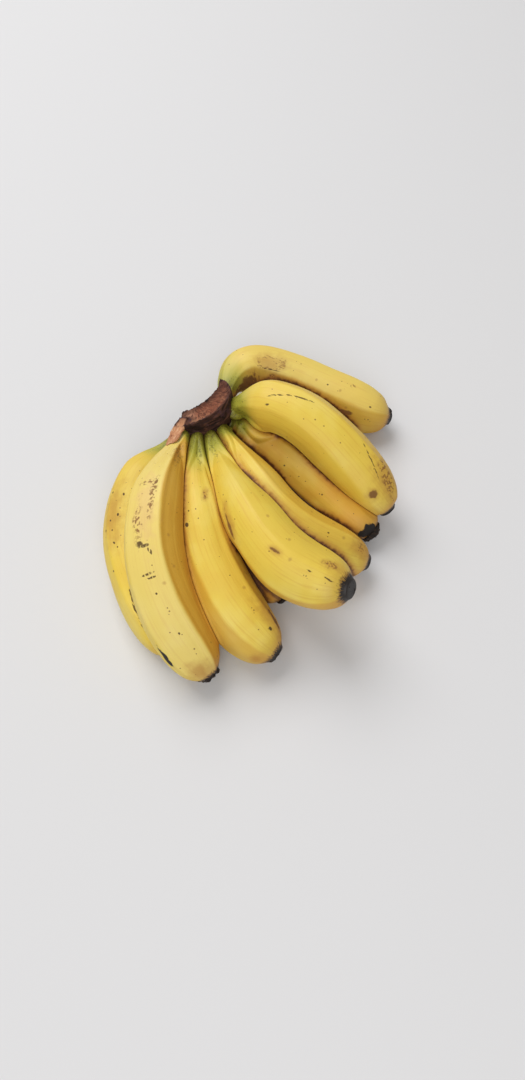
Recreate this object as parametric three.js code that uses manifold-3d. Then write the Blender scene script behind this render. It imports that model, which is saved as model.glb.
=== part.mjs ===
// A hand of bananas as cut from its stalk: nine fingers on one crown, lying with their backs up.
//
// Millimetres, +Z up, and z = 0 is the table. +X runs from the crown out over the middle
// fingers, +Y to their left. Each finger is one piece from its neck in the crown to its dried
// blossom end. Where two fingers press on each other both are flat, a hair's width apart.

import * as THREE from "three";
import { mergeVertices } from "three/addons/utils/BufferGeometryUtils.js";
import Module from "manifold-3d";

const wasm = await Module();
wasm.setup();

// ---------------------------------------------------------------- driving dimensions

const BODY_RADIUS = 16; // a finger of girth 1, past its shoulder
const SWELL = 0.1; // how much stouter it is at its thickest
const NECK_RADIUS = 5.4;
const NECK_END = 0.07; // where the neck starts to widen
const TAPER = 0.76; // where the body starts to close to the blossom end
const BLOSSOM_RADIUS = 5.4; // the dried stub at the free end
const BLOSSOM_LENGTH = 2.5;
const RIDGES = 5; // a banana's cross-section is a rounded pentagon
const RIDGE_SHARPNESS = 4;
const SIDES = 20; // of a finger's mesh, four to a ridge
const RINGS = 32; // along a finger's mesh, closer together towards its free end
const RING_CROWDING = 1.4;
const SPINE_STEPS = 160;
const CONTACT_GAP = 0.5; // between two fingers that press on each other
const DENT_SPREAD = 3; // how many vertices on a dent's edge is eased

const CROWN_CENTRE = new THREE.Vector3(-92, 31, 37); // the stalk's axis, at the crown's middle
const CROWN_SKIN = 24.5; // radius of the crown's outer side, round the stalk's axis
const CROWN_HOLLOW = { x: -113, y: 35, radius: 27.5 }; // the side the stalk was on
const CROWN_PROFILE = [
  [0, 14],
  [13, 14],
  [19, 17],
  [23, 23],
  [24.6, 32],
  [25, 42],
  [23.8, 49],
  [21, 54],
  [18, 58],
  [0, 60],
]; // of the crown's outer side: radius round the stalk's axis, and height
const CROWN_END = [-64, 24.5, 0]; // where the crown's near end is cut: degrees, radius, row
const CUT_HEIGHT = 54; // of the knife's cut at the crown's outer edge
const CUT_SLOPE = 24; // degrees, falling towards the stalk
const CUT_FACING = new THREE.Vector3(0, 0, 1).applyAxisAngle(
  new THREE.Vector3(0, 1, 0),
  THREE.MathUtils.degToRad(-CUT_SLOPE),
);
const SEAT_RADIUS = 20; // of the arc on which the necks start, inside the crown
const SOCKET_GAP = 0.35; // between a neck and the crown

// A strip of the stalk's skin still hangs from the crown's near end, torn at its tip. Its root
// is sunk in the crown just under the knife's cut.
const FLAP_ROOT = new THREE.Vector3(-81, 13, 47);
const FLAP_ALONG = new THREE.Vector3(9, -19.5, 1.6);
const FLAP_THICKNESS = 1.8;
const FLAP_OUTLINE = [
  [-2, -4],
  [4.5, -4],
  [5, 9],
  [4, 15],
  [3.5, 19],
  [1.5, 21.5],
  [0, 18],
  [-1.5, 18.5],
  [-3, 10],
]; // across and along it

// seat: degrees round the crown. row: height of the neck over the crown's middle.
// rise and fall: the curve's two handles. tip: its free end. shoulder: how far along, from 0
// to 1, the neck has widened. roll: turns the first ridge away from straight up, in degrees.
const FINGERS = [
  {
    name: "finger_1_outer",
    seat: -73,
    row: -10,
    rise: [-92, -58, 19],
    fall: [-31, -74, 20],
    tip: [13, -83, 9],
    girth: 0.9,
    shoulder: 0.24,
    roll: 30,
  },
  {
    name: "finger_2_back",
    seat: -56,
    row: -3,
    rise: [-45, -49, 74],
    fall: [-21, -79, 44],
    tip: [37, -78, 9],
    girth: 1,
    shoulder: 0.42,
    roll: 18,
  },
  {
    name: "finger_3",
    seat: -39,
    row: -3,
    rise: [-39, -22, 52],
    fall: [6, -55, 27],
    tip: [55, -43, 11],
    girth: 1.03,
    shoulder: 0.43,
    roll: 20,
  },
  {
    name: "finger_4_inner",
    seat: -16,
    row: -13,
    rise: [-50, 3, 16],
    fall: [-3, -14, 21],
    tip: [34, -13, 8],
    girth: 0.91,
    shoulder: 0.25,
    roll: 0,
  },
  {
    name: "finger_5_back",
    seat: -20,
    row: -5,
    rise: [31, -25, 72],
    fall: [24, -12, 31],
    tip: [67, 1, 51],
    girth: 1.03,
    shoulder: 0.6,
    roll: -5,
  },
  {
    name: "finger_6",
    seat: 7,
    row: -5,
    rise: [-17, 14, 50],
    fall: [6, -1, 35],
    tip: [52, 38, 10],
    girth: 0.92,
    shoulder: 0.44,
    roll: 15,
  },
  {
    name: "finger_7_inner",
    seat: 27,
    row: -9,
    rise: [-58, 60, 16],
    fall: [27, 53, 16],
    tip: [41, 57, 7],
    girth: 0.9,
    shoulder: 0.22,
    roll: 0,
  },
  {
    name: "finger_8_back",
    seat: 43,
    row: -2,
    rise: [-40, 73, 71],
    fall: [1, 67, 44],
    tip: [38, 73, 13],
    girth: 0.97,
    shoulder: 0.25,
    roll: 21,
  },
  {
    name: "finger_9_outer",
    seat: 64,
    row: -8,
    rise: [-141, 108, 19],
    fall: [-28, 102, 20],
    tip: [-11, 131, 10],
    girth: 0.97,
    shoulder: 0.29,
    roll: 36,
  },
];

// ---------------------------------------------------------------- a finger

const smooth = THREE.MathUtils.smoothstep;
const radians = THREE.MathUtils.degToRad;
const UP = new THREE.Vector3(0, 0, 1);

// A point so many degrees round the crown, out from its axis and up from its middle.
function onCrown(seat, radius, height) {
  const out = new THREE.Vector3(Math.cos(radians(seat)), Math.sin(radians(seat)), 0);
  return out.multiplyScalar(radius).add(CROWN_CENTRE).addScaledVector(UP, height);
}

// Radius of a finger of girth 1, with t from 0 in the crown to 1 at the blossom end.
function radiusAt(t, length, shoulder) {
  const bodyEnd = 1 - BLOSSOM_LENGTH / length;
  if (t >= bodyEnd) return BLOSSOM_RADIUS;
  const widened = NECK_RADIUS + (BODY_RADIUS - NECK_RADIUS) * smooth(t, NECK_END, shoulder);
  const body = widened * (1 + SWELL * smooth(t, shoulder, TAPER));
  const taper = Math.max(0, (t - TAPER) / (bodyEnd - TAPER));
  const close = Math.sqrt(1 - taper ** 2.2);
  return BLOSSOM_RADIUS + (body - BLOSSOM_RADIUS) * close;
}

// A rounded pentagon's radius at an angle from one of its corners, round an inner circle of 1.
function pentagon(angle) {
  let sum = 0;
  for (let ridge = 0; ridge < RIDGES; ridge++) {
    const facet = ((ridge + 0.5) * 2 * Math.PI) / RIDGES;
    sum += Math.max(0, Math.cos(angle - facet)) ** RIDGE_SHARPNESS;
  }
  return sum ** (-1 / RIDGE_SHARPNESS);
}

// The centreline, in equal steps: point, direction and radius.
function spineOf(finger) {
  const start = onCrown(finger.seat, SEAT_RADIUS, finger.row);
  const handles = [finger.rise, finger.fall, finger.tip].map((at) => new THREE.Vector3(...at));
  const curve = new THREE.CubicBezierCurve3(start, ...handles);
  const length = curve.getLength();
  const spine = [];
  for (let step = 0; step <= SPINE_STEPS; step++) {
    const t = step / SPINE_STEPS;
    const radius = finger.girth * radiusAt(t, length, finger.shoulder);
    spine.push({ point: curve.getPointAt(t), tangent: curve.getTangentAt(t), radius });
  }
  return spine;
}

// A cylinder bent along the finger's spine. Each vertex keeps the spine's point it hangs from.
function rawFinger(finger) {
  const spine = spineOf(finger);
  const grid = new THREE.CylinderGeometry(1, 1, 1, SIDES, RINGS);
  grid.deleteAttribute("normal");
  grid.deleteAttribute("uv");
  const skin = mergeVertices(grid, 1e-4);
  const place = skin.attributes.position;
  const hubs = [];
  for (let i = 0; i < place.count; i++) {
    const v = new THREE.Vector3().fromBufferAttribute(place, i);
    const t = 1 - Math.max(0, 0.5 + v.y) ** RING_CROWDING;
    const at = spine[Math.round(t * SPINE_STEPS)];
    const side = new THREE.Vector3().crossVectors(UP, at.tangent).normalize();
    const back = new THREE.Vector3().crossVectors(at.tangent, side);
    const angle = Math.atan2(v.x, v.z);
    const wide = Math.hypot(v.x, v.z) * at.radius * pentagon(angle);
    const turned = angle + radians(finger.roll);
    v.copy(at.point);
    v.addScaledVector(back, wide * Math.cos(turned));
    v.addScaledVector(side, wide * Math.sin(turned));
    place.setXYZ(i, v.x, v.y, v.z);
    hubs.push(at);
  }
  return { name: finger.name, spine, skin, hubs };
}

// How far a point is outside a finger taken as round.
function outside(point, spine) {
  let least = Infinity;
  for (const at of spine) {
    least = Math.min(least, point.distanceTo(at.point) - at.radius);
  }
  return least;
}

// The share of each vertex's distance from the spine that its neighbours and the table leave.
function sharesLeft(shape, others) {
  const place = shape.skin.attributes.position;
  const v = new THREE.Vector3();
  const shares = [];
  for (let i = 0; i < place.count; i++) {
    const hub = shape.hubs[i].point;
    const out = new THREE.Vector3().fromBufferAttribute(place, i).sub(hub);
    const room = (share) => {
      v.copy(hub).addScaledVector(out, share);
      const own = outside(v, shape.spine);
      return Math.min(...others.map((other) => outside(v, other.spine))) - own;
    };
    let share = 1;
    if (room(1) < CONTACT_GAP) {
      let low = 0;
      for (let halving = 0; halving < 14; halving++) {
        const middle = (low + share) / 2;
        if (room(middle) < CONTACT_GAP) share = middle;
        else low = middle;
      }
    }
    if (hub.z + share * out.z < 0) share = -hub.z / out.z;
    shares.push(share);
  }
  return shares;
}

// Spreads each dent over the vertices beside it, so that it has no hard edge.
function spread(shares, corners) {
  const sums = shares.map(() => 0);
  const counts = shares.map(() => 0);
  for (let i = 0; i < corners.length; i += 3) {
    for (let j = 0; j < 3; j++) {
      const [here, beside] = [corners[i + j], corners[i + ((j + 1) % 3)]];
      sums[here] += shares[beside];
      counts[here] += 1;
    }
  }
  return shares.map((share, i) => Math.min(share, (share + sums[i] / counts[i]) / 2));
}

// Draws a finger's skin in towards its spine where a neighbour or the table presses on it.
function nestle(shape, others) {
  const place = shape.skin.attributes.position;
  let shares = sharesLeft(shape, others);
  for (let pass = 0; pass < DENT_SPREAD; pass++) {
    shares = spread(shares, shape.skin.index.array);
  }
  for (let i = 0; i < place.count; i++) {
    const v = new THREE.Vector3().fromBufferAttribute(place, i);
    v.sub(shape.hubs[i].point).multiplyScalar(shares[i]).add(shape.hubs[i].point);
    place.setXYZ(i, v.x, v.y, v.z);
  }
}

// ---------------------------------------------------------------- the crown

function toSolid(geometry) {
  geometry.deleteAttribute("normal");
  geometry.deleteAttribute("uv");
  const welded = mergeVertices(geometry, 1e-4);
  const corners = welded.index.array;
  const triVerts = [];
  for (let i = 0; i < corners.length; i += 3) {
    const [a, b, c] = corners.slice(i, i + 3);
    if (a !== b && b !== c && c !== a) triVerts.push(a, b, c);
  }
  const mesh = new wasm.Mesh({
    numProp: 3,
    vertProperties: Float32Array.from(welded.attributes.position.array),
    triVerts: Uint32Array.from(triVerts),
  });
  return new wasm.Manifold(mesh);
}

function fromSolid(solid) {
  const mesh = solid.getMesh();
  const geometry = new THREE.BufferGeometry();
  geometry.setAttribute("position", new THREE.BufferAttribute(mesh.vertProperties, 3));
  geometry.setIndex(new THREE.BufferAttribute(mesh.triVerts, 1));
  return geometry;
}

// The finger's solid, fatter by the socket's gap and longer by it at the neck.
function socketOf(shape) {
  const skin = shape.skin.clone();
  const place = skin.attributes.position;
  const start = shape.spine[0];
  for (let i = 0; i < place.count; i++) {
    const v = new THREE.Vector3().fromBufferAttribute(place, i);
    const hub = shape.hubs[i];
    const out = v.clone().sub(hub.point);
    v.addScaledVector(out.normalize(), SOCKET_GAP);
    if (hub === start) v.addScaledVector(start.tangent, -SOCKET_GAP);
    place.setXYZ(i, v.x, v.y, v.z);
  }
  return toSolid(skin);
}

// A solid turned about a vertical axis, from [radius, height] points listed upwards.
function turned(profile, x, y, segments) {
  const points = profile.map(([radius, height]) => new THREE.Vector2(radius, height));
  const geometry = new THREE.LatheGeometry(points, segments);
  geometry.rotateX(Math.PI / 2);
  geometry.translate(x, y, 0);
  return toSolid(geometry);
}

// The part of a solid behind a plane that faces along a direction and passes a point.
function behind(solid, facing, point) {
  return solid.trimByPlane(facing.clone().negate().toArray(), -facing.dot(point));
}

// A crescent seen from above, as it wrapped the stalk, with the knife's cut across its top.
function crownBody() {
  const { x, y, radius } = CROWN_HOLLOW;
  const outer = turned(CROWN_PROFILE, CROWN_CENTRE.x, CROWN_CENTRE.y, 56);
  const stalk = turned([[0, 0], [radius + 6, 0], [radius, 30], [radius, 70], [0, 70]], x, y, 64);
  const rim = new THREE.Vector3(CROWN_CENTRE.x + CROWN_SKIN, CROWN_CENTRE.y, CUT_HEIGHT);
  const end = new THREE.Vector3(-0.7, -0.7, 0.14).normalize();
  return behind(behind(outer.subtract(stalk), CUT_FACING, rim), end, onCrown(...CROWN_END));
}

// The torn strip: flat, as steep across as the knife's cut, and lying over the outer necks.
function crownFlap() {
  const shape = new THREE.Shape(FLAP_OUTLINE.map(([across, along]) => new THREE.Vector2(across, along)));
  const strip = new THREE.ExtrudeGeometry(shape, { depth: FLAP_THICKNESS, bevelEnabled: false });
  const along = FLAP_ALONG.clone().normalize();
  const across = new THREE.Vector3().crossVectors(along, CUT_FACING).normalize();
  const thick = new THREE.Vector3().crossVectors(across, along);
  strip.applyMatrix4(new THREE.Matrix4().makeBasis(across, along, thick).setPosition(FLAP_ROOT));
  return toSolid(strip);
}

// ---------------------------------------------------------------- the hand

const PEEL = new THREE.MeshStandardMaterial({ color: 0xdcb63f, roughness: 0.5, metalness: 0 });
const CUT = new THREE.MeshStandardMaterial({ color: 0x6d4540, roughness: 0.85, metalness: 0 });

const shapes = FINGERS.map(rawFinger);
for (const shape of shapes) {
  nestle(shape, shapes.filter((other) => other !== shape));
}

const hand = new THREE.Group();
for (const shape of shapes) {
  const mesh = new THREE.Mesh(shape.skin, PEEL.clone());
  mesh.name = shape.name;
  hand.add(mesh);
}

let crown = crownBody().add(crownFlap());
for (const shape of shapes) {
  crown = crown.subtract(socketOf(shape));
}
const crownMesh = new THREE.Mesh(fromSolid(crown), CUT);
crownMesh.name = "crown";
hand.add(crownMesh);

// The frame's origin is on the table, under the middle of the hand.
const extent = new THREE.Box3().setFromObject(hand);
const middle = extent.getCenter(new THREE.Vector3());
for (const mesh of hand.children) {
  mesh.geometry.translate(-middle.x, -middle.y, -extent.min.z);
}

export default hand;
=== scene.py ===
"""A hand of ripe bananas lying on a pale table.

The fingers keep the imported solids' places and get a finer skin: ridges, lumps, freckles,
green necks and dried blossom ends. The crown gets its wrinkled bark and torn cut face.
Metres, +Z up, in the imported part's own frame.
"""

import math

import bmesh
import bpy
import numpy as np
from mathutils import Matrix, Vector, noise
from mathutils.bvhtree import BVHTree
from mathutils.kdtree import KDTree


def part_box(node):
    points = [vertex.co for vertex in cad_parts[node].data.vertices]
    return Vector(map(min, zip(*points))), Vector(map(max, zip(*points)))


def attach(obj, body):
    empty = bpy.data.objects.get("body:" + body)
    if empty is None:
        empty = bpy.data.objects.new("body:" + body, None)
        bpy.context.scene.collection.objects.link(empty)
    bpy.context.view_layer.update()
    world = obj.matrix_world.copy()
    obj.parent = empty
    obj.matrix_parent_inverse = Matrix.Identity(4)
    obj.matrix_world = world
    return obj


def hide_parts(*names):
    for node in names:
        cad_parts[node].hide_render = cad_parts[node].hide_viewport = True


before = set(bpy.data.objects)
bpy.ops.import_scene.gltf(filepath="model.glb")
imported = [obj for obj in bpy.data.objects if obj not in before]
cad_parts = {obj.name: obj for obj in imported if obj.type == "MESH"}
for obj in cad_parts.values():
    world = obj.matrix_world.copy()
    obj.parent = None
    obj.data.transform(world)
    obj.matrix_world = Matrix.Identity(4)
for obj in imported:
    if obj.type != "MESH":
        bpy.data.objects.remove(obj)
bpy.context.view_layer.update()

MM = 0.001
UP = Vector((0, 0, 1))

# ---------------------------------------------------------------- driving dimensions

WELD = 0.001 * MM  # corners of the solids that are one point
SIDES = 20  # of a finger's solid
RIDGES = 5  # of a finger
PEEL_LEVELS = 3  # of subdivision
PEEL_RADIUS = 16 * MM  # of a finger laid out straight, for its patterns
SKIN_SWELL = 0.3 * MM  # gives back what subdivision takes off
CONTACT = 0.1 * MM  # left between two fingers that press on each other
NEAR = 3 * MM  # fingers nearer than that are pressed together,
NEAR_FULL = 0.6  # fully so within this share of it,
PRESSED_SWELL = 0.9 * MM  # by up to this much
NECK_NEAR = 8 * MM  # and the same where the necks have grown together at the crown
NECK_SWELL = 3.5 * MM
NECK_ENDS = 45 * MM  # how far along a finger that goes,
NECK_HIDDEN = 6 * MM  # but not where the neck is in the crown
RUB_AND_CREASE_SHADE_REACH = 6 * MM  # how far from a contact the peel is browned and darkened with painted crease shade,
SHADE_AND_STAIN_REACH = 9 * MM  # and how far from the edge of another finger that lies over it,
COVER_REACH = 40 * MM  # up to this far over it
SHADE_AND_STAIN_FACING = (-0.1, 0.15)  # how squarely it faces the camera: where the painted shadow and stain start and where they are full
RIDGE_HEIGHT = 0.9 * MM
RIDGE_WIDTH = 8  # degrees round the finger
RIDGE_ENDS = 20 * MM  # how far from a finger's ends the ridges start to die out
FLATS = 0.35  # how far below the skin the flats between them are, as a share of their height
LUMP_SIZE = 24 * MM
LUMP_HEIGHT = 0.45 * MM
DIMPLE_SIZE = 6 * MM
DIMPLE_HEIGHT = 0.1 * MM
PEEL_SEED = 3.1  # between one finger's lumps and the next one's

SHADED_SIDE = (0.6, 0.45, -0.66)  # the way the sides of the hand face that get painted warm shade, a deeper orange-yellow

STUB_LENGTH = 2.5 * MM  # of the solids' blossom ends
BLOSSOM_PROFILE = [
    (0, -1.5),
    (4.8, -1.6),
    (6.0, -0.9),
    (6.1, 0.2),
    (5.7, 1.2),
    (5.1, 2.2),
    (4.1, 2.6),
    (2.9, 1.8),
    (1.4, 1.5),
    (0, 2.1),
]  # millimetres, radius and height over the peel: a rim round a hollow with the style's scar
BLOSSOM_SIDES = 28
BLOSSOM_LEVELS = 2  # of subdivision
BLOSSOM_WELD = 0.05 * MM
BLOSSOM_OUTLINE = 0.3  # how far its outline is from round,
BLOSSOM_LOBES = 2.2  # and how many bulges that makes on it
BLOSSOM_RIM = 1 * MM  # the height from which it is ragged,
BLOSSOM_RAGGED = 1.5 * MM  # how far,
BLOSSOM_TEETH = 2.6  # and how many teeth that makes
BLOSSOM_CRUMPLE = 0.6 * MM
CRUMPLE_SIZE = 1.8 * MM
BLOSSOM_SEED = 2.3  # between one finger's blossom end and the next one's

CROWN_VOXEL = 0.5 * MM
CROWN_SMOOTHINGS = 3
CROWN_REACH = 25 * MM  # radius of the crown's outer side, round the stalk's axis
LOOKS_UP = 0.7  # the least that the cut face's normal points up

TORN_FROM = (11 * MM, -18 * MM)  # the torn strip's root, from the stalk's axis
TORN_WAY = (0.42, -0.91)  # and the way it hangs

# Where each of these starts, and where it is full.
CUT_SQUARE = (0.6, 0.9)  # how squarely the cut face's skin looks the cut's way,
CUT_DEPTH = (3 * MM, 1.5 * MM)  # and how deep below the cut it lies
STRIP_DEPTH = (11 * MM, 8 * MM)  # how deep below the cut the torn strip lies,
STRIP_HANGS = (3 * MM, 5 * MM)  # where it hangs free, from its root outwards,
STRIP_TORN = (-7 * MM, 3 * MM)  # and where the bark is off
ON_CUT = 0.3  # the least of its strength for a place to be on the cut face,
OFF_STRIP = 0.1  # and the most for a place to be off the hanging strip

CUT_SINK = 1.5 * MM  # the cut face has dried hollow
CUT_RIM = 4 * MM  # how far in from its edge
FIBRE_HEIGHT = 0.5 * MM
FIBRE_GRAIN = (1.1, 4, 3)  # millimetres round the crown, outwards and up
PIT_DEPTH = 0.6 * MM
PIT_SIZE = 2.6 * MM
WRINKLE_HEIGHT = 1.3 * MM
WRINKLE_GRAIN = (11, 4, 2)  # millimetres round the crown, outwards and up
WRINKLE_SHARP = 2.5
KNOB_HEIGHT = 0.5 * MM
KNOB_SIZE = 5 * MM
BARK_OVER = 1.6 * MM  # how far the dark bark reaches over the cut face's edge
BARK_RAGGED = 1.2 * MM
BARK_RAGGED_SIZE = 3 * MM

GREEN_WANDERS = 24 * MM  # how far the edge of a neck's green goes in and out
SPOTS_WANDER = 70 * MM  # and its brown spots,
TIP_WANDERS = 5 * MM  # and the dried end of the peel
FACET_WANDERS = 0.3  # and the edges of a finger's flats, in radians round it
RING_AT = 0.85  # of a ring mark's half length,
RING_WIDTH = 0.17  # and how wide it is there, to either side

# Spacing of the freckles and of the small stains, the share of places that have none, and their
# largest radius as a share of the spacing.
FRECKLES = [(3 * MM, 0.55, 0.19), (17 * MM, 0.4, 0.1)]

# What each finger shows, in millimetres and degrees.
# stub: how stout its blossom end is.
# web: how far its neck has grown together with the next ones.
# green: how far its neck is green.
# tone: 0 for pale yellow, 1 for deep orange-yellow; on the inner fingers, which lie under the
# others, it is partly painted shade.
# overlain: how brown it is, and how darkened with painted shadow, along the edge of a finger that
# lies over it.
# ridges: their heights in turn, from the uppermost one towards the finger's left.
# facets: the same for the flats between them, -1 for a painted pale highlight and 1 for painted
# warm shade.
# marks: kind, place along from the neck, place round from the uppermost ridge, half its length,
# half its width, and its tilt.
FINGERS = {
    "finger_1_outer": {
        "stub": 0.9,
        "web": 1,
        "green": 24,
        "tone": 0.1,
        "overlain": 0,
        "ridges": (1, 0.7, 0.7, 0.8, 0.7),
        "facets": (0, 0, 0, 0, 0),
        "marks": [
            ("stain", 68, -60, 22, 7, 0),
            ("speck", 54, -70, 0.8, 0.6, 0),
            ("speck", 55, -39, 0.9, 0.6, 20),
            ("speck", 60, -84, 0.6, 0.6, 0),
            ("speck", 68, -46, 1.0, 0.8, 0),
            ("speck", 71, -64, 0.6, 0.5, 0),
            ("speck", 76, -78, 0.8, 0.8, 0),
            ("speck", 77, -60, 0.6, 0.6, 0),
            ("speck", 85, -58, 1.0, 0.6, 30),
            ("speck", 88, -52, 0.6, 0.5, 0),
            ("speck", 100, -75, 0.7, 0.6, 0),
            ("line", 124, -64, 10, 0.6, -13),
        ],
    },
    "finger_2_back": {
        "stub": 1.15,
        "web": 1,
        "green": 20,
        "tone": 0.0,
        "overlain": 0,
        "ridges": (1.5, 1, 0.8, 0.8, 0.9),
        "facets": (0.6, 0.3, 0, 0, -0.3),
        "marks": [
            ("stain", 33, 12, 11, 6, 0),
            ("mottle", 33, 12, 11, 6, 0),
            ("haze", 76, -31, 19, 7, 4),
            ("scar", 70, -17, 12, 2, -4),
            ("scar", 63, -38, 2, 6, 8),
            ("scar", 84, -44, 11, 3, 3),
            ("bruise", 62, -15, 1.6, 1, -10),
            ("line", 94, -41, 1.5, 2.4, 20),
            ("line", 95, -31, 0.8, 4, 10),
            ("line", 98, -21, 2.2, 0.8, 30),
            ("line", 108, -34, 0.6, 4.5, 8),
            ("line", 110, -29, 0.6, 4, 8),
            ("speck", 118, -30, 0.6, 0.6, 0),
            ("speck", 141, -27, 0.9, 0.6, 0),
            ("stain", 165, -43, 7, 8, 0),
            ("black", 150, -81, 6.5, 2.2, -10),
        ],
    },
    "finger_3": {
        "stub": 1.05,
        "web": 1,
        "green": 38,
        "tone": 0.25,
        "overlain": 1.0,
        "ridges": (1, 0.8, 0.8, 0.8, 0.7),
        "facets": (0, 0.4, 0, 0.4, 0),
        "marks": [
            ("mottle", 24, -15, 13, 3.4, 0),
            ("stain", 55, -15, 5, 2.6, -20),
            ("scar", 55, -15, 4, 1.8, -20),
            ("speck", 71, -66, 1.3, 1.0, 0),
            ("speck", 64, -57, 0.6, 0.5, 0),
            ("stain", 138, 2, 18, 7, 0),
            ("bruise", 142, 11, 9, 3, 0),
            ("speck", 143, -19, 1.2, 1.1, 0),
            ("stain", 149, -100, 4, 6, 0),
        ],
    },
    "finger_4_inner": {
        "stub": 0.95,
        "web": 1,
        "green": 30,
        "tone": 1.0,
        "overlain": 1.0,
        "ridges": (1, 0.8, 0.8, 0.8, 0.8),
        "facets": (0.6, 0, 0, 0, 0.6),
        "marks": [],
    },
    "finger_5_back": {
        "stub": 0.85,
        "web": 1,
        "green": 34,
        "tone": 0.1,
        "overlain": 0.95,
        "ridges": (0.5, 0.6, 0.8, 0.8, 0.6),
        "facets": (0, 0.3, 0, 0.5, 0),
        "marks": [
            ("mottle", 24, -15, 12, 4, 0),
            ("stain", 106, -15, 4.5, 2.2, 10),
            ("bruise", 106, -15, 3, 1.0, 10),
            ("line", 128, -12, 3.4, 0.6, 2),
            ("line", 144, -14, 3.9, 0.6, -13),
            ("stain", 141, 22, 8, 4, 15),
            ("scar", 141, 22, 6, 3, 15),
            ("stain", 79, -58, 14, 4, -14),
            ("bruise", 80, -61, 9, 1.2, -14),
        ],
    },
    "finger_6": {
        "stub": 0.95,
        "web": 1,
        "green": 22,
        "tone": 0.4,
        "overlain": 0.95,
        "ridges": (1, 0.8, 0.8, 0.8, 0.9),
        "facets": (0.3, 0.3, 0, 0, 0),
        "marks": [
            ("stain", 22, -50, 8, 5, 0),
            ("scar", 22, -50, 7, 3.5, 20),
            ("stain", 128, -15, 9, 8, 0),
            ("scar", 128, -10, 4, 3, 0),
            ("speck", 104, -14, 0.7, 0.5, 0),
        ],
    },
    "finger_7_inner": {
        "stub": 1.2,
        "web": 1.6,
        "green": 22,
        "tone": 0.9,
        "overlain": 1.0,
        "ridges": (0.7, 0.6, 0.8, 0.8, 0.9),
        "facets": (0.3, 0, 0, 0, 0.3),
        "marks": [
            ("speck", 52, -44, 0.7, 0.6, 0),
            ("speck", 83, -38, 0.6, 0.6, 0),
            # This wide black band at the finger's end is its blackened tip and painted shadow
            # beside it.
            ("black", 117, -25, 3.6, 10, -8),
        ],
    },
    "finger_8_back": {
        "stub": 0.95,
        "web": 1.3,
        "green": 24,
        "tone": 0.15,
        "overlain": 0.8,
        "ridges": (0.8, 0.8, 0.8, 0.8, 0.3),
        "facets": (0.25, 0.4, 0, 0, 0),
        "marks": [
            ("line", 42, -33, 5.5, 0.6, 26),
            ("line", 53, -18, 6, 0.6, 17),
            ("line", 38, -60, 1.6, 1.2, 20),
            ("line", 101, -16, 12.5, 0.4, -17),
            ("bruise", 116, -54, 2.4, 3, 0),
            ("stain", 116, -54, 4.6, 5, 0),
            ("scar", 114, -8, 13, 4, -15),
            ("stain", 115, -14, 16, 9, -20),
        ],
    },
    "finger_9_outer": {
        "stub": 0.95,
        "web": 1.4,
        "green": 30,
        "tone": 0.15,
        "overlain": 0.9,
        "ridges": (0.5, 0.6, 0.8, 0.8, 0.4),
        "facets": (-0.2, 0, 0, 0.4, 0.3),
        "marks": [
            ("stain", 55, 16, 14, 8, 12),
            # This stain and bruise near the neck, on the side towards finger_8_back, are painted
            # shadow in the hollow between the two fingers.
            ("stain", 34, -38, 22, 9, 19),
            ("bruise", 27, -46, 18, 7, 19),
            ("ring", 55, 17, 10, 4.8, 12),
            ("line", 57, 2, 8, 0.4, 4),
            ("stain", 59, -14, 6, 3, 30),
            ("scar", 59, -14, 5, 2.4, 30),
            ("bruise", 115, -20, 4.5, 1.6, 10),
            ("scar", 113, 42, 2.4, 1.8, 0),
            ("speck", 98, 20, 0.6, 0.5, 0),
            ("speck", 127, 10, 0.7, 0.6, 0),
        ],
    },
}

# Each kind of mark: its colour, how strongly it shows, how broken up it is, how ragged its
# outline is, and where its edge fades, from a half length or half width of 1 inwards.
MARKS = {
    "haze": ("DDB27C", 0.42, 0.0, 1.0, 1.4, 0.2),
    "stain": ("A96C2A", 0.55, 0.0, 0.6, 1.4, 0.1),
    "bruise": ("6E421D", 0.85, 0.3, 1.0, 1.1, 0.6),
    "scar": ("7A4A20", 0.8, 0.53, 0.9, 1.2, 0.4),
    "mottle": ("55521C", 0.6, 0.54, 1.3, 1.2, 0.4),
    "ring": ("86552A", 0.6, 0.5, 1.1, 0.0, 0.0),
    "line": ("45290F", 0.9, 0.46, 1.0, 1.1, 0.7),
    "speck": ("3E2410", 0.9, 0.0, 0.6, 1.1, 0.7),
    "black": ("1A120E", 1.0, 0.0, 0.8, 1.1, 0.9),
}

# ---------------------------------------------------------------- camera, light and table

AIM = Vector((22.2, -20.8, 20)) * MM
AZIMUTH = math.radians(45)
ELEVATION = math.radians(62)
DISTANCE = 470 * MM
LENS = 26.0
TABLE_REACH = 3.0  # from its middle to its edges
TABLE_DROP = 0.3 * MM  # keeps it clear of the flattened undersides


def towards(azimuth, elevation):
    """Unit vector from the hand towards a place at that azimuth and elevation."""
    flat = math.cos(elevation)
    return Vector((math.sin(azimuth) * flat, -math.cos(azimuth) * flat, math.sin(elevation)))


def make_camera():
    data = bpy.data.cameras.new("camera")
    data.lens = LENS
    camera = bpy.data.objects.new("camera", data)
    bpy.context.scene.collection.objects.link(camera)
    back = towards(AZIMUTH, ELEVATION)
    camera.location = AIM + back * DISTANCE
    camera.rotation_euler = (-back).to_track_quat("-Z", "Y").to_euler()
    bpy.context.scene.camera = camera


def make_softbox(name, azimuth, elevation, distance, size, watts):
    data = bpy.data.lights.new(name, "AREA")
    data.size = size
    data.energy = watts
    lamp = bpy.data.objects.new(name, data)
    bpy.context.scene.collection.objects.link(lamp)
    back = towards(math.radians(azimuth), math.radians(elevation))
    lamp.location = back * distance
    lamp.rotation_euler = (-back).to_track_quat("-Z", "Y").to_euler()


# ---------------------------------------------------------------- node helpers


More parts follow.
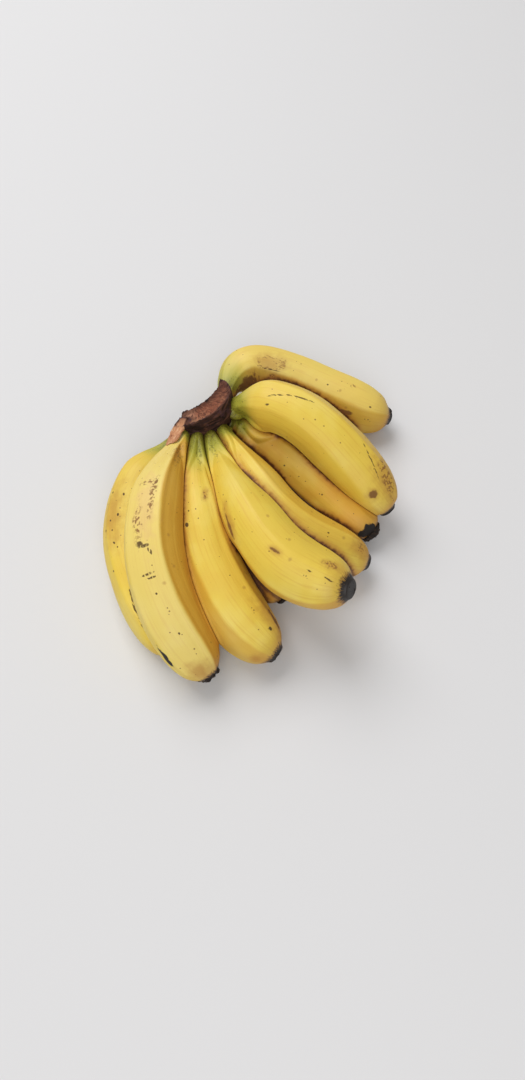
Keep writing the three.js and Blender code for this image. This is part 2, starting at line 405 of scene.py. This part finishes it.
def linear(colour):
    """An sRGB hex colour as the linear colour that a shader reads, with an alpha of 1."""
    parts = [int(colour[i : i + 2], 16) / 255 for i in (0, 2, 4)]
    return [c / 12.92 if c <= 0.04045 else ((c + 0.055) / 1.055) ** 2.4 for c in parts] + [1.0]


def new_material(name):
    material = bpy.data.materials.new(name)
    material.use_nodes = True
    material.node_tree.nodes.clear()
    return material, material.node_tree


def add(tree, kind, inputs, out=0, **settings):
    """Adds a node, sets its inputs from values or sockets, and gives one of its outputs."""
    node = tree.nodes.new("ShaderNode" + kind)
    for name, value in settings.items():
        setattr(node, name, value)
    for key, value in inputs.items():
        if isinstance(value, bpy.types.NodeSocket):
            tree.links.new(value, node.inputs[key])
        else:
            node.inputs[key].default_value = value
    return node.outputs[out] if out is not None else node


# ---------------------------------------------------------------- the fingers' skins


def copy_of(node):
    """A CAD node's mesh as a bmesh, its triangles joined at their corners."""
    mesh = bmesh.new()
    mesh.from_mesh(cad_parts[node].data)
    bmesh.ops.remove_doubles(mesh, verts=mesh.verts, dist=WELD)
    return mesh


def rings_from(start):
    """The rings of vertices along a finger, from the middle of one end to the other's."""
    rings = [[start]]
    seen = {start}
    while True:
        found = {edge.other_vert(v) for v in rings[-1] for edge in v.link_edges} - seen
        if not found:
            return rings
        seen |= found
        rings.append(sorted(found, key=lambda v: v.index))


def middle(vertices):
    return sum((v.co for v in vertices), Vector()) / len(vertices)


def first_ring_in_order(rings):
    """The neck's end ring, in turn round the finger, from its uppermost ridge."""
    hub = middle(rings[1])
    along = (middle(rings[2]) - hub).normalized()
    side = UP.cross(along).normalized()
    back = along.cross(side)

    def turn(v):
        out = v.co - hub
        return math.atan2(out.dot(side), out.dot(back)) % math.tau

    ring = sorted(rings[1], key=turn)
    step = SIDES // RIDGES
    reach = [sum((v.co - hub).length for v in ring[i::step]) for i in range(step)]
    corners = ring[reach.index(max(reach)) :: step]
    top = ring.index(max(corners, key=lambda v: (v.co - hub).dot(back)))
    return ring[top:] + ring[:top]


def apart(row, other):
    """How far apart two rows of vertices are, all of them added up."""
    return sum((b.co - a.co).length for a, b in zip(row, other))


def rows_along(rings):
    """Each ring in turn round the finger, so that the same place is the same side of it."""
    rows = [first_ring_in_order(rings)]
    for ring in rings[2:-1]:
        nexts = [{e.other_vert(v) for e in v.link_edges} & set(ring) for v in rows[-1]]
        shared = [(one & other).pop() for one, other in zip(nexts, nexts[1:] + nexts[:1])]
        ways = [shared, shared[-1:] + shared[:-1]]
        rows.append(min(ways, key=lambda way: apart(rows[-1], way)))
    return rows


def lay_out(layer, rings, rows):
    """Writes each vertex's place on the finger laid out straight, neck at 0, along z."""
    hubs = [middle(ring) for ring in rings]
    along = 0.0
    rings[0][0][layer] = Vector((0, 0, 0))
    for number, row in enumerate(rows, start=1):
        along += (hubs[number] - hubs[number - 1]).length
        for side, v in enumerate(row):
            turn = math.tau * side / SIDES
            v[layer] = Vector((math.cos(turn) * PEEL_RADIUS, math.sin(turn) * PEEL_RADIUS, along))
    rings[-1][0][layer] = Vector((0, 0, along))
    return along


def finger_skin(node):
    """A finger's skin in quads, subdivided, its length, and its free end's place and way."""
    mesh = copy_of(node)
    layer = mesh.verts.layers.float_vector.new("straight")
    neck_side = sum(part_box("crown"), Vector()) / 2
    ends = [v for v in mesh.verts if len(v.link_edges) == SIDES]
    ends.sort(key=lambda v: (v.co - neck_side).length)
    rings = rings_from(ends[0])
    rows = rows_along(rings)
    length = lay_out(layer, rings, rows)
    tip = rings[-1][0].co.copy()
    along = (tip - middle(rings[-3])).normalized()
    kept = {frozenset(pair) for low, high in zip(rows, rows[1:]) for pair in zip(low, high)}
    level = {v: number for number, ring in enumerate(rings) for v in ring}
    last = len(rings) - 1
    slanted = [
        edge
        for edge in mesh.edges
        if level[edge.verts[0]] != level[edge.verts[1]]
        and not {0, last} & {level[v] for v in edge.verts}
        and frozenset(edge.verts) not in kept
    ]
    bmesh.ops.dissolve_edges(mesh, edges=slanted, use_verts=False)
    skin = object_from(mesh, node + "_peel")
    finish_with_subdivision(skin, PEEL_LEVELS)
    return skin, length, tip, along


def object_from(mesh, name):
    data = bpy.data.meshes.new(name)
    mesh.to_mesh(data)
    mesh.free()
    made = bpy.data.objects.new(name, data)
    bpy.context.scene.collection.objects.link(made)
    return made


def finish_with_subdivision(piece, levels):
    subdivision = piece.modifiers.new("subdivision", "SUBSURF")
    subdivision.levels = subdivision.render_levels = levels
    apply_modifiers(piece)


def apply_modifiers(piece):
    graph = bpy.context.evaluated_depsgraph_get()
    done = bpy.data.meshes.new_from_object(piece.evaluated_get(graph), depsgraph=graph)
    piece.modifiers.clear()
    piece.data = done
    piece.data.shade_smooth()


def read(data, name):
    """All the vectors of that name in a mesh's data, one to a row."""
    values = np.zeros(len(data) * 3)
    data.foreach_get(name, values)
    return values.reshape(-1, 3)


def write(mesh, values_of):
    """Gives a mesh one number for each vertex under each of the names."""
    for name, values in values_of.items():
        mesh.attributes.new(name, "FLOAT", "POINT").data.foreach_set("value", values)


def push_out(mesh, places, normals, heights):
    """Moves each vertex outwards by its height, but not into the table, and says where to."""
    places = places + normals * heights[:, None]
    places[:, 2] = np.maximum(places[:, 2], 0)
    mesh.vertices.foreach_set("co", places.ravel())
    mesh.update()
    return places


def nearest(places, others):
    """How far each place is from the nearest of the others."""
    tree = KDTree(len(others))
    for number, other in enumerate(others):
        tree.insert(other, number)
    tree.balance()
    return np.array([tree.find(Vector(place))[2] for place in places])


def noise_at(points, size, seed=0.0):
    """Smooth noise between about -1 and 1, its lumps of that size, at each point."""
    offset = Vector((seed, 1.7 * seed, 0.6 * seed))
    return np.array([noise.noise(Vector(p) / size + offset) for p in points])


def ramp(values, start, full):
    """0 up to the start and 1 from full on, and smooth between them."""
    t = np.clip((values - start) / (full - start), 0, 1)
    return t * t * (3 - 2 * t)


def ridges_on(straight, length, heights):
    """How far the ridges raise each vertex of a finger's skin."""
    span = 360 / RIDGES
    turn = np.degrees(np.arctan2(straight[:, 1], straight[:, 0])) % 360
    which = np.round(turn / span).astype(int) % RIDGES
    off_ridge = turn - np.round(turn / span) * span
    from_end = np.minimum(straight[:, 2], length - straight[:, 2])
    crest = (np.exp(-((off_ridge / RIDGE_WIDTH) ** 2)) - FLATS) * RIDGE_HEIGHT
    return crest * np.array(heights)[which] * np.clip(from_end / RIDGE_ENDS, 0, 1)


def edge_shade_and_stain(places, normals, others):
    """1 where the edge of a finger that lies over this one is, and 0 from some way off it: there
    the peel gets painted shadow and some browning.

    The edge is the one seen from where make_camera puts the camera. It is worked out once and
    kept on the mesh, so it doesn't follow a camera that is moved. From other sides, and most of
    all from above, the stains then lie off the edges that show, some of them on open peel.
    """
    ways = np.array(AIM + towards(AZIMUTH, ELEVATION) * DISTANCE) - places
    ways /= np.linalg.norm(ways, axis=1, keepdims=True)
    starts = places + normals * CONTACT
    rays = [(Vector(start), Vector(way), COVER_REACH) for start, way in zip(starts, ways)]
    covered = np.array([others.ray_cast(*ray)[0] is not None for ray in rays])
    if not covered.any():
        return np.zeros(len(places))
    away = np.zeros(len(places))
    for side in (covered, ~covered):
        away[side] = nearest(places[side], places[~side])
    facing = ramp(np.sum(normals * ways, axis=1), *SHADE_AND_STAIN_FACING)
    return np.maximum(0, 1 - away / SHADE_AND_STAIN_REACH) * facing


def shape_skin(skin, length, others, look, seed):
    """Raises the ridges and lumps of a finger, and closes up to its neighbours."""
    mesh = skin.data
    places = read(mesh.vertices, "co")
    normals = read(mesh.vertex_normals, "vector")
    straight = read(mesh.attributes["straight"].data, "vector")
    lumps = noise_at(places, LUMP_SIZE, seed) * LUMP_HEIGHT
    dimples = noise_at(places, DIMPLE_SIZE, seed) * DIMPLE_HEIGHT
    wanted = SKIN_SWELL + ridges_on(straight, length, look["ridges"]) + lumps + dimples
    reach = NECK_NEAR * look["web"]
    found = [others.find_nearest(Vector(place), reach)[3] for place in places]
    gaps = np.array([reach if gap is None else gap for gap in found])
    outside = ramp(straight[:, 2], NECK_HIDDEN / 2, NECK_HIDDEN)
    grown = ramp(straight[:, 2], NECK_ENDS, NECK_ENDS / 2) * outside
    near = NEAR + grown * (reach - NEAR)
    swell = PRESSED_SWELL + grown * (NECK_SWELL * look["web"] - PRESSED_SWELL)
    pressed = np.minimum(swell, gaps / 2)
    wanted += np.maximum(0, pressed - wanted) * ramp(gaps / near, 1, NEAR_FULL)
    wanted = np.minimum(wanted, (gaps - CONTACT) / 2)
    places = push_out(mesh, places, normals, wanted)
    rub_and_crease_shade = np.maximum(0, 1 - gaps / RUB_AND_CREASE_SHADE_REACH) * outside
    shade_and_stain = edge_shade_and_stain(places, normals, others) * look["overlain"] * outside
    write(mesh, {"rub_and_crease_shade": rub_and_crease_shade, "shade_and_stain": shade_and_stain})


def tree_of(pieces):
    """One search tree of several pieces' faces."""
    corners = []
    faces = []
    for piece in pieces:
        start = len(corners)
        corners += [v.co for v in piece.data.vertices]
        faces += [[start + i for i in face.vertices] for face in piece.data.polygons]
    return BVHTree.FromPolygons(corners, faces)


def make_fingers():
    skins = {name: finger_skin(name) for name in FINGERS}
    trees = {}
    for name in skins:
        trees[name] = tree_of([skins[other][0] for other in skins if other != name])
    flower = dried_blossom()
    for number, (name, (skin, length, tip, along)) in enumerate(skins.items()):
        look = FINGERS[name]
        end = make_blossom_end(name, tip, along, look["stub"], seed=BLOSSOM_SEED * number)
        end.data.materials.append(flower)
        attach(end, "root")
        shape_skin(skin, length, trees[name], look, seed=PEEL_SEED * number)
        skin.data.materials.clear()
        skin.data.materials.append(peel(name, length, look))
        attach(skin, "root")
        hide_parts(name)


# ---------------------------------------------------------------- blossom ends


def make_blossom_end(name, tip, along, stout, seed):
    """The dried remains of the flower: a ragged rim round a hollow.

    Its profile is rolled up from a grid and not spun, because a spin numbers the faces in a
    different order in each run.
    """
    mesh = bmesh.new()
    steps = len(BLOSSOM_PROFILE) - 1
    bmesh.ops.create_grid(mesh, x_segments=BLOSSOM_SIDES, y_segments=steps, size=0.5)
    for v in mesh.verts:
        angle = math.tau * (v.co.x + 0.5)
        radius, height = BLOSSOM_PROFILE[round((v.co.y + 0.5) * steps)]
        out = Vector((math.cos(angle), math.sin(angle), 0)) * radius * stout
        v.co = (out + UP * height) * MM
    bmesh.ops.remove_doubles(mesh, verts=mesh.verts, dist=BLOSSOM_WELD)
    bmesh.ops.recalc_face_normals(mesh, faces=mesh.faces)
    torn = Vector((seed, 0, 0))
    for v in mesh.verts:
        around = v.co.normalized()
        out = Vector((v.co.x, v.co.y, 0))
        v.co += out * BLOSSOM_OUTLINE * noise.noise(around * BLOSSOM_LOBES + torn)
        if v.co.z > BLOSSOM_RIM:
            v.co.z += BLOSSOM_RAGGED * noise.noise(out.normalized() * BLOSSOM_TEETH - torn)
    turn = along.to_track_quat("Z", "X").to_matrix().to_4x4()
    turn.translation = tip - along * STUB_LENGTH
    bmesh.ops.transform(mesh, matrix=turn, verts=mesh.verts)
    end = object_from(mesh, name.replace("finger", "blossom"))
    finish_with_subdivision(end, BLOSSOM_LEVELS)
    places = read(end.data.vertices, "co")
    normals = read(end.data.vertex_normals, "vector")
    crumpled = noise_at(places, CRUMPLE_SIZE, seed) * BLOSSOM_CRUMPLE
    push_out(end.data, places, normals, crumpled)
    return end


# ---------------------------------------------------------------- the crown


def cut_face(mesh):
    """The knife's cut, the crown's largest face that looks up: its normal, and how far out."""
    areas = {}
    for face in mesh.faces:
        if face.normal.z > LOOKS_UP:
            key = tuple(round(c, 2) for c in face.normal)
            areas[key] = areas.get(key, 0) + face.calc_area()
    normal = Vector(max(areas, key=areas.get)).normalized()
    return normal, max(normal.dot(v.co) for v in mesh.verts)


def make_crown():
    mesh = copy_of("crown")
    facing, height = cut_face(mesh)
    crown = object_from(mesh, "crown_bark")
    remesh = crown.modifiers.new("remesh", "REMESH")
    remesh.mode = "VOXEL"
    remesh.voxel_size = CROWN_VOXEL
    apply_modifiers(crown)
    mesh = bmesh.new()
    mesh.from_mesh(crown.data)
    for _ in range(CROWN_SMOOTHINGS):
        bmesh.ops.smooth_vert(mesh, verts=mesh.verts, factor=0.5)
    mesh.to_mesh(crown.data)
    mesh.free()
    shape_crown(crown.data, np.array(facing), height)
    crown.data.shade_smooth()
    crown.data.materials.clear()
    crown.data.materials.append(dried_crown())
    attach(crown, "root")
    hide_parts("crown")


def shape_crown(mesh, facing, height):
    """Hollows and frays the cut face, wrinkles the bark, and says which is which."""
    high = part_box("crown")[1]
    places = read(mesh.vertices, "co")
    normals = read(mesh.vertex_normals, "vector")
    out = places[:, :2] - np.array([high.x - CROWN_REACH, high.y - CROWN_REACH])
    radius = np.hypot(out[:, 0], out[:, 1])
    arc = np.arctan2(out[:, 1], out[:, 0]) * CROWN_REACH
    depth = height - places @ facing
    hangs = (out - np.array(TORN_FROM)) @ np.array(TORN_WAY)
    over = ramp(depth, *STRIP_DEPTH)
    flap = ramp(hangs, *STRIP_HANGS) * over
    torn = ramp(hangs, *STRIP_TORN) * over
    top = ramp(normals @ facing, *CUT_SQUARE) * ramp(depth, *CUT_DEPTH)
    on_cut = top > ON_CUT
    inward = np.zeros(len(places))
    inward[on_cut] = nearest(places[on_cut], places[~on_cut & (flap < OFF_STRIP)])
    unrolled = np.stack([arc, radius, places[:, 2]], axis=1)
    fibres = noise_at(unrolled / FIBRE_GRAIN, MM) * FIBRE_HEIGHT
    pits = np.minimum(0, noise_at(places, PIT_SIZE, seed=4.0)) * PIT_DEPTH
    folds = 1 - WRINKLE_SHARP * np.abs(noise_at(unrolled / WRINKLE_GRAIN, MM))
    knobs = noise_at(places, KNOB_SIZE) * KNOB_HEIGHT
    ragged = noise_at(places, BARK_RAGGED_SIZE, seed=7.0) * BARK_RAGGED
    moved = knobs + top * (fibres + pits - CUT_SINK * ramp(inward, 0, CUT_RIM))
    moved += (1 - top) * (1 - torn) * (folds - 1) * WRINKLE_HEIGHT / 2 + torn * fibres / 2
    push_out(mesh, places, normals, moved)
    bare = top * ramp(inward + ragged, BARK_OVER / 2, 1.5 * BARK_OVER)
    torn = np.maximum(flap, torn * bare)
    write(mesh, {"cut": bare, "torn": torn, "folds": folds, "inward": inward})
    flow = mesh.attributes.new("unrolled", "FLOAT_VECTOR", "POINT")
    flow.data.foreach_set("vector", unrolled.ravel())


# ---------------------------------------------------------------- materials


def marks_on(tree, flat, ragged, marks, edges):
    """Where a finger's marks of one kind are: 1 on them and 0 elsewhere."""
    found = 0.0
    for kind, along, around, half_length, half_width, tilt in marks:
        place = {
            "Vector": flat,
            "Location": (math.radians(around) * PEEL_RADIUS, along * MM, 0),
            "Rotation": (0, 0, math.radians(-tilt)),
            "Scale": (half_width * MM, half_length * MM, MM),
        }
        local = add(tree, "Mapping", place, vector_type="TEXTURE")
        out = add(tree, "VectorMath", {0: local}, "Value", operation="LENGTH")
        out = add(tree, "Math", {0: out, 1: ragged}, operation="ADD")
        if kind == "ring":
            here = add(tree, "Math", {0: out, 1: RING_AT, 2: RING_WIDTH}, operation="COMPARE")
        else:
            edge = {"Value": out, "From Min": edges[0], "From Max": edges[1]}
            here = add(tree, "MapRange", edge, interpolation_type="SMOOTHSTEP")
        found = add(tree, "Math", {0: here, 1: found}, operation="MAXIMUM")
    return found


def peel(name, length, look):
    """Ripe banana peel: waxy, so it has a soft broad gloss. It is fibrous along the finger,
    green at the neck, browned where fingers rub, darkened with painted shade in the creases
    between them and beside fingers that lie over it, and freckled. It bruises to dark brown."""
    material, tree = new_material(name + "_waxy_peel")
    straight = add(tree, "Attribute", {}, "Vector", attribute_name="straight")
    sides = add(tree, "SeparateXYZ", {0: straight}).node.outputs
    turn = add(tree, "Math", {0: sides["Y"], 1: sides["X"]}, operation="ARCTAN2")
    arc = add(tree, "Math", {0: turn, 1: PEEL_RADIUS}, operation="MULTIPLY")
    flat = add(tree, "CombineXYZ", {"X": arc, "Y": sides["Z"]})

    # Blotches of 25 mm, ragged edges of 4 and 1.5 mm, scratches 0.8 mm apart, and fibres 1.2 mm
    # apart and 25 mm long.
    cloudy = add(tree, "TexNoise", {"Vector": straight, "Scale": 1 / (25 * MM), "Detail": 2})
    fine = add(tree, "TexNoise", {"Vector": straight, "Scale": 1 / (1.5 * MM), "Detail": 3})
    uneven = add(tree, "TexNoise", {"Vector": straight, "Scale": 1 / (4 * MM), "Detail": 3})
    streaked = add(tree, "Mapping", {"Vector": straight, "Scale": (1, 1, 0.22)})
    streaks = add(tree, "TexNoise", {"Vector": streaked, "Scale": 1 / (0.8 * MM), "Detail": 3})
    stretched = add(tree, "Mapping", {"Vector": straight, "Scale": (1, 1, 0.05)})
    fibres = add(tree, "TexNoise", {"Vector": stretched, "Scale": 1 / (1.2 * MM), "Detail": 2})
    drifts = []
    for pattern, wanders in [(cloudy, GREEN_WANDERS), (fine, SPOTS_WANDER), (fine, TIP_WANDERS)]:
        drift = {0: pattern, 1: wanders, 2: -wanders / 2}
        drifts.append(add(tree, "Math", drift, operation="MULTIPLY_ADD"))
    from_neck = add(tree, "Math", {0: sides["Z"], 1: drifts[0]}, operation="ADD")
    spotted = add(tree, "Math", {0: from_neck, 1: drifts[1]}, operation="ADD")
    from_tip = add(tree, "Math", {0: length, 1: sides["Z"]}, operation="SUBTRACT")
    frayed_tip = add(tree, "Math", {0: from_tip, 1: drifts[2]}, operation="ADD")
    rub_and_crease_shade = add(tree, "Attribute", {}, "Fac", attribute_name="rub_and_crease_shade")
    shade_and_stain = add(tree, "Attribute", {}, "Fac", attribute_name="shade_and_stain")
    patchy = add(tree, "Math", {0: uneven, 1: 0.5, 2: 0.75}, operation="MULTIPLY_ADD")
    shade_and_stain = add(tree, "Math", {0: shade_and_stain, 1: patchy}, operation="MULTIPLY")
    shaded = {0: add(tree, "TexCoord", {}, "Normal"), 1: SHADED_SIDE}
    shaded = add(tree, "VectorMath", shaded, "Value", operation="DOT_PRODUCT")

    # The freckles are up to 1 mm across, a little larger than real ones so that they show. The
    # small stains are up to 3 mm across.
    spots = []
    for spacing, bare, largest in FRECKLES:
        cells = add(tree, "TexVoronoi", {"Vector": straight, "Scale": 1 / spacing}).node.outputs
        chance = add(tree, "SeparateColor", {0: cells["Color"]})
        size = {"Value": chance, "From Min": bare, "From Max": 1, "To Min": 0, "To Max": largest}
        size = add(tree, "MapRange", size)
        spots.append(add(tree, "Math", {0: size, 1: cells["Distance"]}, operation="SUBTRACT"))
    in_freckle, in_stain = spots

    green = look["green"] * MM
    ranges = [  # colour, what it depends on, where it starts and is full, and how strong it is
        ("EAD479", cloudy, 0.5, 0.72, 0.4),
        ("C9962F", fibres, 0.5, 0.75, 0.3),
        ("D9A032", cloudy, 0.62, 0.38, 0.1 + 0.6 * look["tone"]),
        # Painted warm shade on the sides that face away from the key light.
        ("C88A26", shaded, 0.0, 0.8, 0.7),
    ]
    for number, tone in enumerate(look["facets"]):
        centre = math.tau * (number + 0.5) / RIDGES
        wavy = {0: cloudy, 1: FACET_WANDERS, 2: -FACET_WANDERS / 2 - centre}
        wavy = add(tree, "Math", wavy, operation="MULTIPLY_ADD")
        off = add(tree, "Math", {0: turn, 1: wavy}, operation="ADD")
        off = add(tree, "Math", {0: off, 1: math.pi, 2: -math.pi}, operation="WRAP")
        off = add(tree, "Math", {0: off}, operation="ABSOLUTE")
        # Flats that face the light get a painted pale highlight, and those turned away get
        # painted warm shade.
        shade = "C88A2A" if tone > 0 else "F2E09C"
        ranges.append((shade, off, math.radians(40), math.radians(32), abs(tone)))
    ranges += [
        ("A9AA3C", from_neck, 1.15 * green, 0.6 * green, 0.85),
        ("7F7E1E", from_neck, 0.85 * green, 0.3 * green, 0.85),
        ("5C5018", spotted, 0.45 * green, 0.15 * green, 0.7),
        # Browning where fingers rub, and painted shade in the creases between them.
        ("C08A33", rub_and_crease_shade, 0.45, 0.8, 0.45),
        ("8A501C", rub_and_crease_shade, 0.75, 0.88, 0.6),
        ("4C280F", rub_and_crease_shade, 0.84, 0.92, 0.85),
        # Painted shadow, with some browning, beside the edge of a finger that lies over this one.
        ("C0832F", shade_and_stain, 0.3, 0.8, 0.7),
        ("8C521B", shade_and_stain, 0.58, 0.8, 0.75),
        ("4A260E", shade_and_stain, 0.7, 0.86, 0.9),
        ("B07F33", frayed_tip, 16 * MM, 5 * MM, 0.35),
        ("6B4520", frayed_tip, 5 * MM, 3 * MM, 0.8),
        ("9C6A2C", in_stain, 0.0, 0.06, 0.45),
        ("6B3D0E", in_freckle, 0.0, 0.03, 0.75),
        ("1A120E", frayed_tip, 3 * MM, 2.4 * MM, 1.0),
    ]
    colour = linear("E3C74B")
    for shade, value, start, full, strength in ranges:
        mask = {"Value": value, "From Min": start, "From Max": full, "To Max": strength}
        mask = add(tree, "MapRange", mask, interpolation_type="SMOOTHSTEP")
        colour = add(tree, "Mix", {0: mask, 6: colour, 7: linear(shade)}, 2, data_type="RGBA")
    worn = 0.0
    for kind, (shade, strength, broken, rough, *edges) in MARKS.items():
        marks = [mark for mark in look["marks"] if mark[0] == kind]
        if not marks:
            continue
        ragged = {0: uneven, 1: 2 * rough, 2: -rough}
        ragged = add(tree, "Math", ragged, operation="MULTIPLY_ADD")
        found = marks_on(tree, flat, ragged, marks, edges)
        pattern = fine if kind in ("scar", "mottle") else streaks
        pattern = {"Value": pattern, "From Min": broken - 0.04, "From Max": broken + 0.04}
        pattern = add(tree, "MapRange", {**pattern, "To Max": strength})
        mask = add(tree, "Math", {0: found, 1: pattern}, operation="MULTIPLY")
        colour = add(tree, "Mix", {0: mask, 6: colour, 7: linear(shade)}, 2, data_type="RGBA")
        worn = add(tree, "Math", {0: worn, 1: mask}, operation="MAXIMUM")

    worn = add(tree, "Math", {0: worn, 1: rub_and_crease_shade}, operation="MAXIMUM")
    rough = add(tree, "Math", {0: worn, 1: 0.3, 2: 0.5}, operation="MULTIPLY_ADD")
    height = add(tree, "Math", {0: fibres, 1: fine}, operation="ADD")
    bump = add(tree, "Bump", {"Height": height, "Strength": 0.25, "Distance": 0.3 * MM})
    skin = {"Base Color": colour, "Roughness": rough, "Normal": bump}
    shader = add(tree, "BsdfPrincipled", skin)
    add(tree, "OutputMaterial", {"Surface": shader}, None)
    return material


def dried_blossom():
    """Dried flower: black-brown and crumpled, with dusty edges, and quite without gloss."""
    material, tree = new_material("dried_blossom")
    place = add(tree, "TexCoord", {}, "Object")
    crumbs = add(tree, "TexNoise", {"Vector": place, "Scale": 1 / (1.2 * MM), "Detail": 4})
    mask = {"Value": crumbs, "From Min": 0.45, "From Max": 0.75, "To Max": 0.8}
    mask = add(tree, "MapRange", mask, interpolation_type="SMOOTHSTEP")
    shades = {0: mask, 6: linear("17100D"), 7: linear("4C3527")}
    colour = add(tree, "Mix", shades, 2, data_type="RGBA")
    bump = add(tree, "Bump", {"Height": crumbs, "Strength": 0.7, "Distance": 0.6 * MM})
    flower = {"Base Color": colour, "Roughness": 0.9, "Normal": bump}
    shader = add(tree, "BsdfPrincipled", flower)
    add(tree, "OutputMaterial", {"Surface": shader}, None)
    return material


def dried_crown():
    """Dried stalk: dark leathery bark, with painted shade where its wrinkles sink in and a
    painted highlight on their crests, and a pinkish fibrous cut face.
    The torn strip shows the bark's tan inner side. All of it is matt."""
    material, tree = new_material("dried_stalk_bark_and_cut")
    way = add(tree, "Attribute", {}, "Vector", attribute_name="unrolled")
    cut = add(tree, "Attribute", {}, "Fac", attribute_name="cut")
    torn = add(tree, "Attribute", {}, "Fac", attribute_name="torn")
    place = add(tree, "TexCoord", {}, "Object")

    folds = add(tree, "Attribute", {}, "Fac", attribute_name="folds")
    inward = add(tree, "Attribute", {}, "Fac", attribute_name="inward")

    # Bark cracks 1.5 mm apart run round it, and the cut's fibres 1 mm apart run outwards.
    round_it = add(tree, "Mapping", {"Vector": way, "Scale": (0.12, 0.4, 1)})
    outwards = add(tree, "Mapping", {"Vector": way, "Scale": (1, 0.28, 0.4)})
    cracks = add(tree, "TexNoise", {"Vector": round_it, "Scale": 1 / (1.5 * MM), "Detail": 4})
    fibres = {"Vector": outwards, "Scale": 1 / MM, "Detail": 4, "Distortion": 0.8}
    fibres = add(tree, "TexNoise", fibres)
    blotches = add(tree, "TexNoise", {"Vector": place, "Scale": 1 / (5 * MM), "Detail": 4})
    arc = add(tree, "SeparateXYZ", {0: way})
    ranges = [  # the face it is on, and then as for the peel
        # Painted shade in the sunken folds of the bark and a painted highlight on their crests.
        (None, "1B0E0B", folds, 0.2, -0.5, 0.8),
        (None, "6B4536", folds, 0.6, 1.0, 0.6),
        (None, "6F4A3B", cracks, 0.52, 0.68, 0.6),
        (None, "170C0A", cracks, 0.48, 0.38, 0.7),
        (None, "513842", blotches, 0.5, 0.65, 0.6),
        (cut, "854E38", blotches, -1, 0, 1.0),
        (cut, "A66E50", blotches, 0.5, 0.64, 0.8),
        (cut, "5E3626", arc, 4 * MM, 30 * MM, 0.55),
        (cut, "B98A70", arc, -12 * MM, -27 * MM, 0.7),
        (cut, "45261E", fibres, 0.5, 0.4, 0.8),
        (cut, "B88060", fibres, 0.58, 0.7, 0.55),
        (cut, "3A1F19", inward, 4.5 * MM, 1.5 * MM, 0.7),
        (torn, "C58E68", blotches, -1, 0, 1.0),
        (torn, "9A5F48", fibres, 0.54, 0.66, 0.75),
        (torn, "DDB48C", fibres, 0.46, 0.34, 0.6),
    ]
    colour = linear("38201A")
    for face, shade, value, start, full, strength in ranges:
        mask = {"Value": value, "From Min": start, "From Max": full, "To Max": strength}
        mask = add(tree, "MapRange", mask, interpolation_type="SMOOTHSTEP")
        if face is not None:
            mask = add(tree, "Math", {0: mask, 1: face}, operation="MULTIPLY")
        colour = add(tree, "Mix", {0: mask, 6: colour, 7: linear(shade)}, 2, data_type="RGBA")
    height = add(tree, "Math", {0: cracks, 1: fibres}, operation="ADD")
    bump = add(tree, "Bump", {"Height": height, "Strength": 0.6, "Distance": 0.5 * MM})
    bark = {"Base Color": colour, "Roughness": 0.8, "Specular IOR Level": 0.25, "Normal": bump}
    shader = add(tree, "BsdfPrincipled", bark)
    add(tree, "OutputMaterial", {"Surface": shader}, None)
    return material


def plain_table():
    """A pale painted board, matt so that it takes soft shadows and mirrors nothing."""
    material, tree = new_material("matt_pale_table")
    shader = add(tree, "BsdfPrincipled", {"Base Color": linear("D8D8DA"), "Roughness": 0.7})
    add(tree, "OutputMaterial", {"Surface": shader}, None)
    return material


def make_table():
    mesh = bmesh.new()
    bmesh.ops.create_grid(mesh, x_segments=1, y_segments=1, size=TABLE_REACH)
    bmesh.ops.translate(mesh, verts=mesh.verts, vec=(0, 0, -TABLE_DROP))
    table = object_from(mesh, "table")
    table.data.materials.append(plain_table())


def make_world():
    world = bpy.data.worlds.new("studio")
    bpy.context.scene.world = world
    world.use_nodes = True
    tree = world.node_tree
    tree.nodes.clear()
    back = add(tree, "Background", {"Color": linear("F4F1EC"), "Strength": 0.38})
    add(tree, "OutputWorld", {"Surface": back}, None)


make_camera()
make_softbox("key", azimuth=-100, elevation=52, distance=2.4, size=1.7, watts=40)
make_softbox("fill", azimuth=45, elevation=42, distance=2.0, size=1.6, watts=18)
make_world()
make_table()
make_fingers()
make_crown()

bpy.context.scene.view_settings.view_transform = "Standard"
